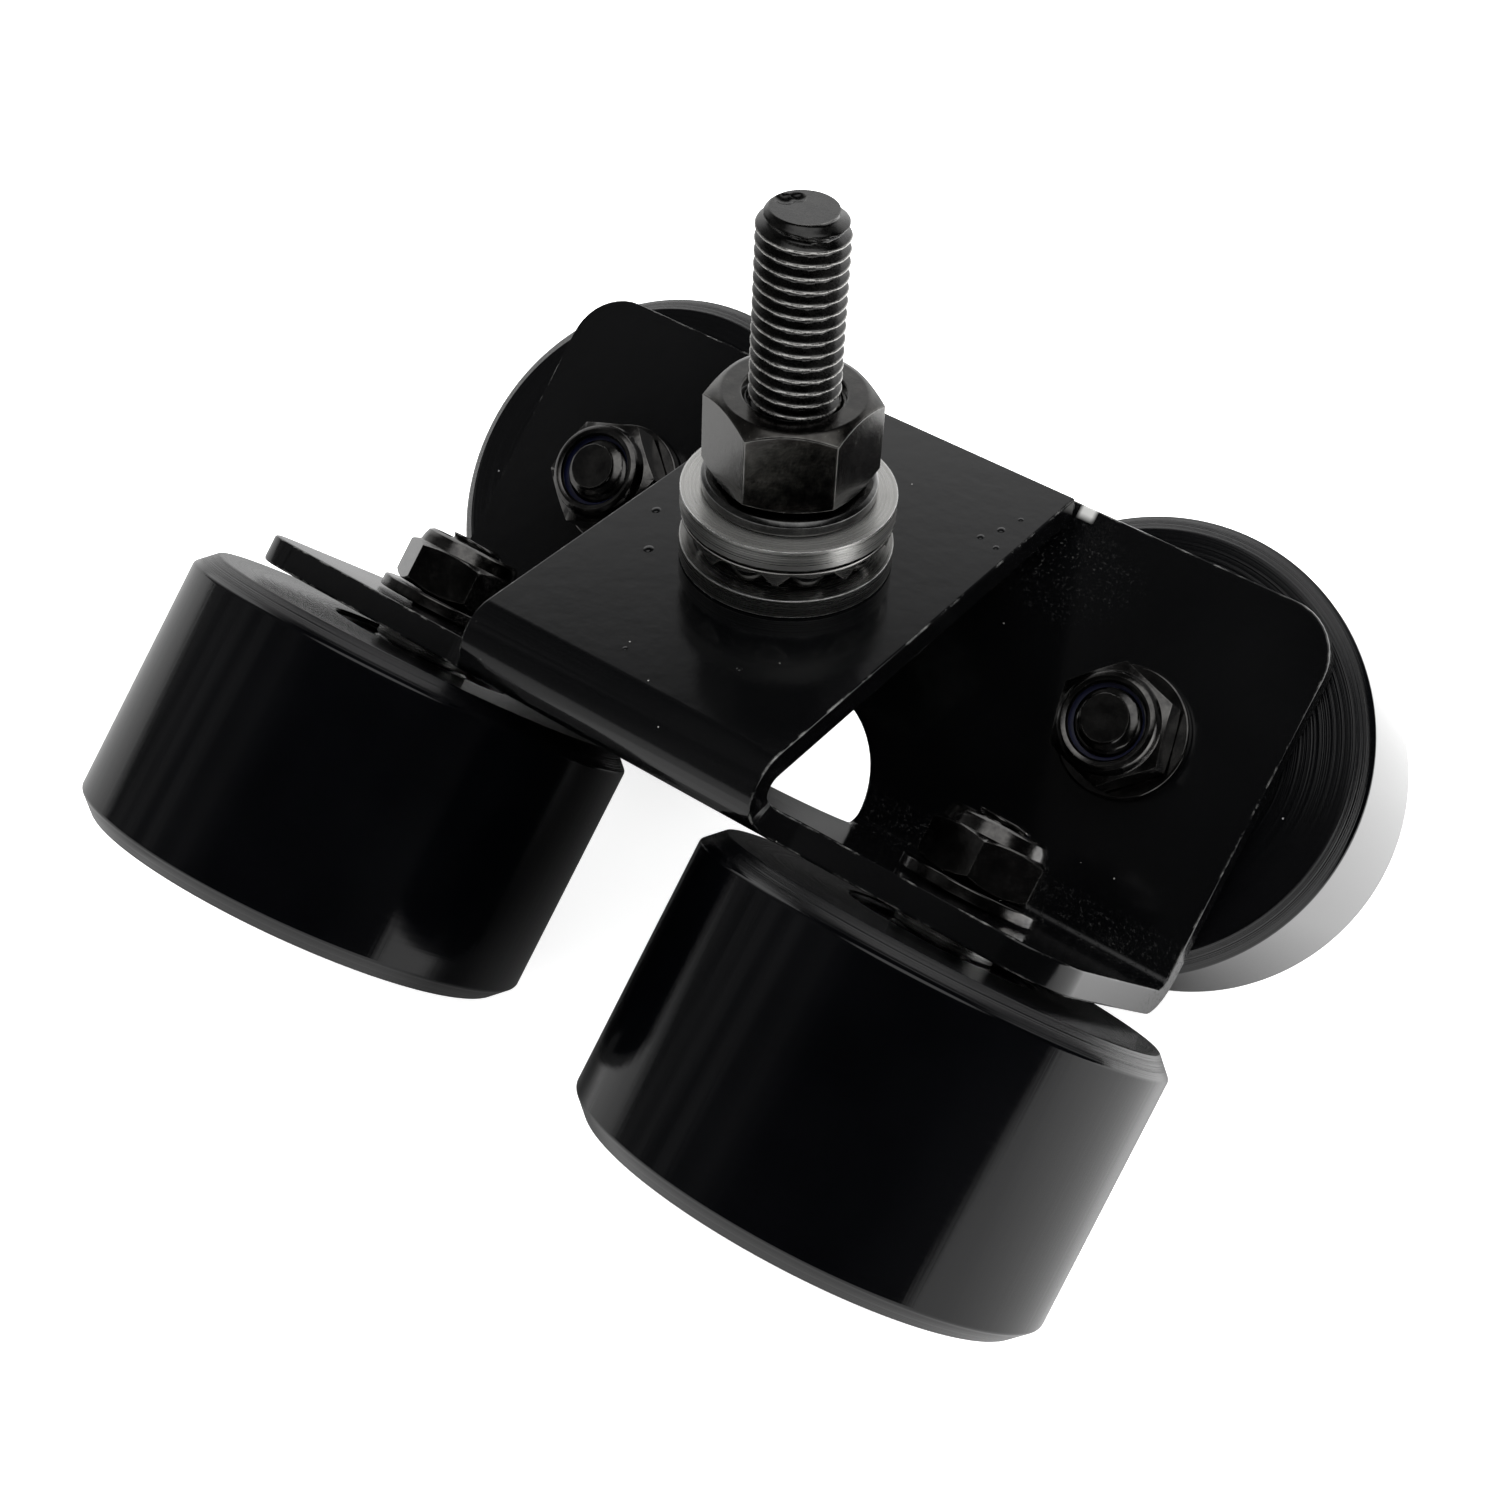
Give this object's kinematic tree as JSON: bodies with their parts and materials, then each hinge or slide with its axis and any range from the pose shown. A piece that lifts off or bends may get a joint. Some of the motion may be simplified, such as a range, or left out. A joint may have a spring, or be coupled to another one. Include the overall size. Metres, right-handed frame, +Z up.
{
  "type": "sliding door roller",
  "caption": "Trolley for a sliding door: folded steel bracket with sloping flanges, angled plastic wheels and a threaded swivel stud on a thrust bearing.",
  "frame": {"origin": "bottom centre: under the stud's axis, at the level of the wheels' lowest points", "axes": "+Z up along the swivel stud, +X along the bracket's length and the direction of travel, +Y from the bent edge of the plate towards its welded edge"},
  "size_m": [0.1312, 0.125, 0.1061],
  "materials": {
    "bracket": "gloss black powder coat with light orange peel",
    "thrust_race_lower": "bright ground bearing steel",
    "thrust_race_upper": "bright ground bearing steel",
    "thrust_ball_cage": "plain pressed steel",
    "swivel_washer": "dark black-oxide steel with brighter worn edges",
    "swivel_nut": "dark black-oxide steel with brighter worn edges",
    "swivel_stud": "dark black-oxide steel with brighter worn edges",
    "wheel_front_left": "glossy black nylon, turned faces",
    "inner_bearing_outer_ring_front_left": "bright ground bearing steel",
    "inner_bearing_inner_ring_front_left": "bright ground bearing steel",
    "inner_bearing_ball_cage_front_left": "plain pressed steel",
    "outer_bearing_outer_ring_front_left": "bright ground bearing steel",
    "outer_bearing_inner_ring_front_left": "bright ground bearing steel",
    "outer_bearing_ball_cage_front_left": "plain pressed steel",
    "standoff_bush_front_left": "glossy black zinc plating",
    "bearing_spacer_front_left": "bright ground bearing steel",
    "axle_bolt_front_left": "glossy black zinc plating",
    "nut_washer_front_left": "glossy black zinc plating",
    "lock_nut_front_left": "glossy black zinc plating",
    "lock_insert_front_left": "blue nylon",
    "wheel_front_right": "glossy black nylon, turned faces",
    "inner_bearing_outer_ring_front_right": "bright ground bearing steel",
    "inner_bearing_inner_ring_front_right": "bright ground bearing steel",
    "inner_bearing_ball_cage_front_right": "plain pressed steel",
    "outer_bearing_outer_ring_front_right": "bright ground bearing steel",
    "outer_bearing_inner_ring_front_right": "bright ground bearing steel",
    "outer_bearing_ball_cage_front_right": "plain pressed steel",
    "standoff_bush_front_right": "glossy black zinc plating",
    "bearing_spacer_front_right": "bright ground bearing steel",
    "axle_bolt_front_right": "glossy black zinc plating",
    "nut_washer_front_right": "glossy black zinc plating",
    "lock_nut_front_right": "glossy black zinc plating",
    "lock_insert_front_right": "blue nylon",
    "wheel_back_left": "glossy black nylon, turned faces",
    "inner_bearing_outer_ring_back_left": "bright ground bearing steel",
    "inner_bearing_inner_ring_back_left": "bright ground bearing steel",
    "inner_bearing_ball_cage_back_left": "plain pressed steel",
    "outer_bearing_outer_ring_back_left": "bright ground bearing steel",
    "outer_bearing_inner_ring_back_left": "bright ground bearing steel",
    "outer_bearing_ball_cage_back_left": "plain pressed steel",
    "standoff_bush_back_left": "glossy black zinc plating",
    "bearing_spacer_back_left": "bright ground bearing steel",
    "axle_bolt_back_left": "glossy black zinc plating",
    "nut_washer_back_left": "glossy black zinc plating",
    "lock_nut_back_left": "glossy black zinc plating",
    "lock_insert_back_left": "blue nylon",
    "wheel_back_right": "glossy black nylon, turned faces",
    "inner_bearing_outer_ring_back_right": "bright ground bearing steel",
    "inner_bearing_inner_ring_back_right": "bright ground bearing steel",
    "inner_bearing_ball_cage_back_right": "plain pressed steel",
    "outer_bearing_outer_ring_back_right": "bright ground bearing steel",
    "outer_bearing_inner_ring_back_right": "bright ground bearing steel",
    "outer_bearing_ball_cage_back_right": "plain pressed steel",
    "standoff_bush_back_right": "glossy black zinc plating",
    "bearing_spacer_back_right": "bright ground bearing steel",
    "axle_bolt_back_right": "glossy black zinc plating",
    "nut_washer_back_right": "glossy black zinc plating",
    "lock_nut_back_right": "glossy black zinc plating",
    "lock_insert_back_right": "blue nylon"
  },
  "bodies": {
    "bracket": {"bracket": "bracket", "thrust_race_lower": "thrust_race_lower", "inner_bearing_inner_ring_front_left": "inner_bearing_inner_ring_front_left", "outer_bearing_inner_ring_front_left": "outer_bearing_inner_ring_front_left", "standoff_bush_front_left": "standoff_bush_front_left", "bearing_spacer_front_left": "bearing_spacer_front_left", "axle_bolt_front_left": "axle_bolt_front_left", "nut_washer_front_left": "nut_washer_front_left", "lock_nut_front_left": "lock_nut_front_left", "lock_insert_front_left": "lock_insert_front_left", "inner_bearing_inner_ring_front_right": "inner_bearing_inner_ring_front_right", "outer_bearing_inner_ring_front_right": "outer_bearing_inner_ring_front_right", "standoff_bush_front_right": "standoff_bush_front_right", "bearing_spacer_front_right": "bearing_spacer_front_right", "axle_bolt_front_right": "axle_bolt_front_right", "nut_washer_front_right": "nut_washer_front_right", "lock_nut_front_right": "lock_nut_front_right", "lock_insert_front_right": "lock_insert_front_right", "inner_bearing_inner_ring_back_left": "inner_bearing_inner_ring_back_left", "outer_bearing_inner_ring_back_left": "outer_bearing_inner_ring_back_left", "standoff_bush_back_left": "standoff_bush_back_left", "bearing_spacer_back_left": "bearing_spacer_back_left", "axle_bolt_back_left": "axle_bolt_back_left", "nut_washer_back_left": "nut_washer_back_left", "lock_nut_back_left": "lock_nut_back_left", "lock_insert_back_left": "lock_insert_back_left", "inner_bearing_inner_ring_back_right": "inner_bearing_inner_ring_back_right", "outer_bearing_inner_ring_back_right": "outer_bearing_inner_ring_back_right", "standoff_bush_back_right": "standoff_bush_back_right", "bearing_spacer_back_right": "bearing_spacer_back_right", "axle_bolt_back_right": "axle_bolt_back_right", "nut_washer_back_right": "nut_washer_back_right", "lock_nut_back_right": "lock_nut_back_right", "lock_insert_back_right": "lock_insert_back_right"},
    "swivel": {"swivel_stud": "swivel_stud", "swivel_nut": "swivel_nut", "swivel_washer": "swivel_washer", "thrust_race_upper": "thrust_race_upper"},
    "thrust_cage": {"thrust_ball_cage": "thrust_ball_cage"},
    "wheel_front_left": {"wheel_front_left": "wheel_front_left", "inner_bearing_outer_ring_front_left": "inner_bearing_outer_ring_front_left", "outer_bearing_outer_ring_front_left": "outer_bearing_outer_ring_front_left"},
    "bearing_cages_front_left": {"inner_bearing_ball_cage_front_left": "inner_bearing_ball_cage_front_left", "outer_bearing_ball_cage_front_left": "outer_bearing_ball_cage_front_left"},
    "wheel_front_right": {"wheel_front_right": "wheel_front_right", "inner_bearing_outer_ring_front_right": "inner_bearing_outer_ring_front_right", "outer_bearing_outer_ring_front_right": "outer_bearing_outer_ring_front_right"},
    "bearing_cages_front_right": {"inner_bearing_ball_cage_front_right": "inner_bearing_ball_cage_front_right", "outer_bearing_ball_cage_front_right": "outer_bearing_ball_cage_front_right"},
    "wheel_back_left": {"wheel_back_left": "wheel_back_left", "inner_bearing_outer_ring_back_left": "inner_bearing_outer_ring_back_left", "outer_bearing_outer_ring_back_left": "outer_bearing_outer_ring_back_left"},
    "bearing_cages_back_left": {"inner_bearing_ball_cage_back_left": "inner_bearing_ball_cage_back_left", "outer_bearing_ball_cage_back_left": "outer_bearing_ball_cage_back_left"},
    "wheel_back_right": {"wheel_back_right": "wheel_back_right", "inner_bearing_outer_ring_back_right": "inner_bearing_outer_ring_back_right", "outer_bearing_outer_ring_back_right": "outer_bearing_outer_ring_back_right"},
    "bearing_cages_back_right": {"inner_bearing_ball_cage_back_right": "inner_bearing_ball_cage_back_right", "outer_bearing_ball_cage_back_right": "outer_bearing_ball_cage_back_right"}
  },
  "joints": [
    {"name": "stud_swivel", "type": "hinge", "parent": "bracket", "child": "swivel", "pos_m": [0, 0, 0.06307], "axis": [0, 0, 1], "continuous": true},
    {"name": "thrust_cage_turn", "type": "hinge", "parent": "bracket", "child": "thrust_cage", "pos_m": [0, 0, 0.06307], "axis": [0, 0, 1], "continuous": true},
    {"name": "spin_front_left", "type": "hinge", "parent": "bracket", "child": "wheel_front_left", "pos_m": [-0.0376, -0.03246, 0.03005], "axis": [0, -0.7071, -0.7071], "continuous": true},
    {"name": "cage_turn_front_left", "type": "hinge", "parent": "bracket", "child": "bearing_cages_front_left", "pos_m": [-0.0376, -0.03246, 0.03005], "axis": [0, -0.7071, -0.7071], "continuous": true},
    {"name": "spin_front_right", "type": "hinge", "parent": "bracket", "child": "wheel_front_right", "pos_m": [0.0376, -0.03246, 0.03005], "axis": [0, -0.7071, -0.7071], "continuous": true},
    {"name": "cage_turn_front_right", "type": "hinge", "parent": "bracket", "child": "bearing_cages_front_right", "pos_m": [0.0376, -0.03246, 0.03005], "axis": [0, -0.7071, -0.7071], "continuous": true},
    {"name": "spin_back_left", "type": "hinge", "parent": "bracket", "child": "wheel_back_left", "pos_m": [-0.0376, 0.03246, 0.03005], "axis": [0, 0.7071, -0.7071], "continuous": true},
    {"name": "cage_turn_back_left", "type": "hinge", "parent": "bracket", "child": "bearing_cages_back_left", "pos_m": [-0.0376, 0.03246, 0.03005], "axis": [0, 0.7071, -0.7071], "continuous": true},
    {"name": "spin_back_right", "type": "hinge", "parent": "bracket", "child": "wheel_back_right", "pos_m": [0.0376, 0.03246, 0.03005], "axis": [0, 0.7071, -0.7071], "continuous": true},
    {"name": "cage_turn_back_right", "type": "hinge", "parent": "bracket", "child": "bearing_cages_back_right", "pos_m": [0.0376, 0.03246, 0.03005], "axis": [0, 0.7071, -0.7071], "continuous": true}
  ],
  "couplings": [
    {"joint": "thrust_cage_turn", "follows": "stud_swivel", "ratio": 0.5},
    {"joint": "cage_turn_front_left", "follows": "spin_front_left", "ratio": 0.6226},
    {"joint": "cage_turn_front_right", "follows": "spin_front_right", "ratio": 0.6226},
    {"joint": "cage_turn_back_left", "follows": "spin_back_left", "ratio": 0.6226},
    {"joint": "cage_turn_back_right", "follows": "spin_back_right", "ratio": 0.6226}
  ]
}
